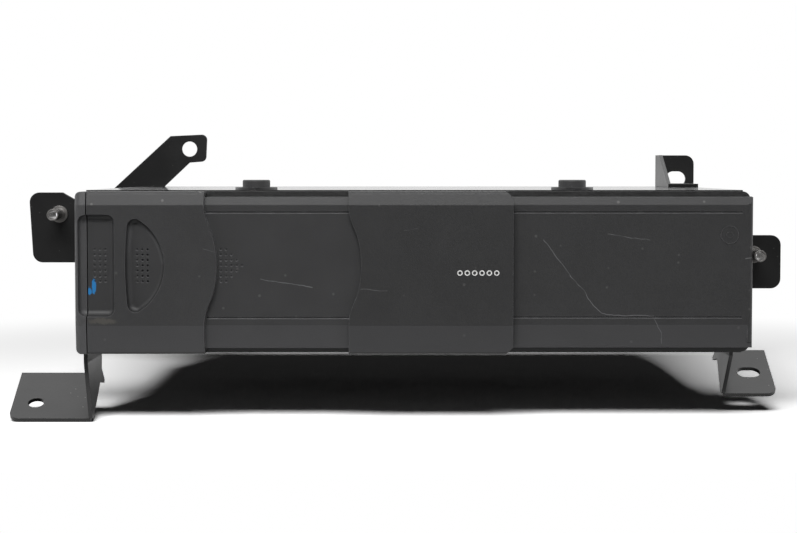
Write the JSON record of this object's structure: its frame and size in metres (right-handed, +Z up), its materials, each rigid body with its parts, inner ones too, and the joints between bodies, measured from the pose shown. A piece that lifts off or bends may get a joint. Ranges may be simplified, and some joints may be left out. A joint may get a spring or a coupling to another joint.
{
  "type": "car cd changer",
  "caption": "Boxed car disc changer with a telescoping sliding front door, disc magazine, screw-driven player lift and folded steel mounting brackets.",
  "frame": {"origin": "centre of the case's flat underside", "axes": "+X to the right as seen from the front, +Y into the depth, away from the door, +Z up"},
  "size_m": [0.2984, 0.1776, 0.1122],
  "materials": {
    "black_textured_plastic": "fine-grained moulded plastic",
    "black_rail_plastic": "smooth moulded plastic",
    "black_painted_steel": "semi-gloss black paint on sheet steel",
    "zinc_plated_steel": "bright zinc plated sheet",
    "bright_stud": "bright turned steel",
    "black_screw": "black oxide",
    "soft_black_rubber": "matt rubber",
    "grey_plastic": "moulded plastic",
    "tray_plastic": "moulded plastic",
    "white_plastic": "moulded acetal",
    "circuit_board": "green solder mask",
    "chip_black": "moulded epoxy",
    "gold_pin": "plated contacts",
    "lens_glass": "coated moulded lens",
    "aluminium_can": "motor and capacitor cans"
  },
  "bodies": {
    "case": {"board_capacitors": "aluminium_can", "board_chips": "chip_black", "board_spacers": "white_plastic", "bracket_screws": "black_screw", "case_cover": "black_painted_steel", "case_pan": "black_painted_steel", "chassis": "zinc_plated_steel", "cover_screws": "black_screw", "eject_spring": "bright_stud", "eject_switch": "chip_black", "fascia_end_cap": "black_textured_plastic", "fascia_fixed_panel": "black_textured_plastic", "fascia_frame": "black_rail_plastic", "fascia_screws": "black_screw", "left_bracket": "black_painted_steel", "left_bracket_stud": "bright_stud", "lift_frame": "zinc_plated_steel", "lift_guide_posts": "bright_stud", "lift_motor": "aluminium_can", "magazine_rails": "white_plastic", "main_board": "circuit_board", "rear_socket": "chip_black", "right_bracket": "black_painted_steel", "right_bracket_stud": "bright_stud", "socket_pins": "gold_pin", "suspension_cap_left": "soft_black_rubber", "suspension_cap_retainers": "black_rail_plastic", "suspension_cap_right": "soft_black_rubber", "suspension_dampers": "soft_black_rubber", "suspension_springs": "bright_stud", "switch_board": "circuit_board"},
    "door_cover": {"door_cover": "black_textured_plastic"},
    "door_grip": {"door_grip": "black_textured_plastic"},
    "eject_button": {"eject_button": "grey_plastic"},
    "magazine": {"magazine_shell": "tray_plastic", "disc_tray_1": "tray_plastic", "disc_tray_2": "tray_plastic", "disc_tray_3": "tray_plastic", "disc_tray_4": "tray_plastic", "disc_tray_5": "tray_plastic", "disc_tray_6": "tray_plastic"},
    "magazine_ejector": {"magazine_ejector": "white_plastic"},
    "lift": {"lift_carriage": "zinc_plated_steel", "spindle_motor": "aluminium_can", "clamp_arm_pin": "bright_stud", "sled_rods": "bright_stud", "sled_motor": "aluminium_can"},
    "lift_screw": {"lift_screw": "bright_stud", "lift_gear": "white_plastic"},
    "lift_pinion": {"lift_pinion": "gold_pin"},
    "turntable": {"turntable": "grey_plastic"},
    "clamp_arm": {"clamp_arm": "zinc_plated_steel"},
    "disc_clamp": {"disc_clamp": "grey_plastic"},
    "pickup": {"optical_pickup": "chip_black"},
    "lens": {"pickup_lens": "lens_glass"},
    "sled_screw": {"sled_screw": "white_plastic"}
  },
  "joints": [
    {"name": "door_cover_slide", "type": "slide", "parent": "case", "child": "door_cover", "axis": [1, 0, 0], "range_m": [0, 0.089]},
    {"name": "door_grip_slide", "type": "slide", "parent": "door_cover", "child": "door_grip", "axis": [1, 0, 0], "range_m": [0, 0.0535]},
    {"name": "eject_press", "type": "slide", "parent": "case", "child": "eject_button", "axis": [0, 1, 0], "range_m": [0, 0.0025], "stiffness_N_per_m": 300, "springref_m": -0.001},
    {"name": "magazine_slide", "type": "slide", "parent": "case", "child": "magazine", "axis": [0, -1, 0], "range_m": [0, 0.006]},
    {"name": "ejector_slide", "type": "slide", "parent": "case", "child": "magazine_ejector", "axis": [0, -1, 0], "range_m": [0, 0.006]},
    {"name": "lift_slide", "type": "slide", "parent": "case", "child": "lift", "axis": [0, 0, 1], "range_m": [0, 0.033]},
    {"name": "lift_screw_turn", "type": "hinge", "parent": "case", "child": "lift_screw", "pos_m": [0.0255, 0.0625, 0.0536], "axis": [0, 0, 1], "range_deg": [-5, 1805]},
    {"name": "lift_pinion_turn", "type": "hinge", "parent": "case", "child": "lift_pinion", "pos_m": [0.0135, 0.0625, 0.0536], "axis": [0, 0, 1], "range_deg": [-5415, 15]},
    {"name": "turntable_spin", "type": "hinge", "parent": "lift", "child": "turntable", "pos_m": [0.044, -0.01, 0.0128], "axis": [0, 0, 1], "continuous": true},
    {"name": "clamp_arm_lift", "type": "hinge", "parent": "lift", "child": "clamp_arm", "pos_m": [0.101, -0.01, 0.0179], "axis": [0, 1, 0], "range_deg": [0, 4], "stiffness_Nm_per_rad": 0.05, "springref_deg": -11.46},
    {"name": "disc_clamp_spin", "type": "hinge", "parent": "clamp_arm", "child": "disc_clamp", "pos_m": [0.044, -0.01, 0.0145], "axis": [0, 0, 1], "continuous": true},
    {"name": "lens_focus", "type": "slide", "parent": "pickup", "child": "lens", "axis": [0, 0, 1], "range_m": [-0.0003, 0.0003], "stiffness_N_per_m": 20},
    {"name": "pickup_slide", "type": "slide", "parent": "lift", "child": "pickup", "axis": [0, 1, 0], "range_m": [0, 0.035]},
    {"name": "sled_screw_turn", "type": "hinge", "parent": "lift", "child": "sled_screw", "pos_m": [0.064, 0.0047, 0.0091], "axis": [0, 1, 0], "range_deg": [-5, 4205]}
  ],
  "couplings": [
    {"joint": "ejector_slide", "follows": "magazine_slide", "ratio": 1},
    {"joint": "lift_screw_turn", "follows": "lift_slide", "rad_per_m": 952},
    {"joint": "lift_pinion_turn", "follows": "lift_slide", "rad_per_m": -2856},
    {"joint": "sled_screw_turn", "follows": "pickup_slide", "rad_per_m": 2094.4}
  ]
}
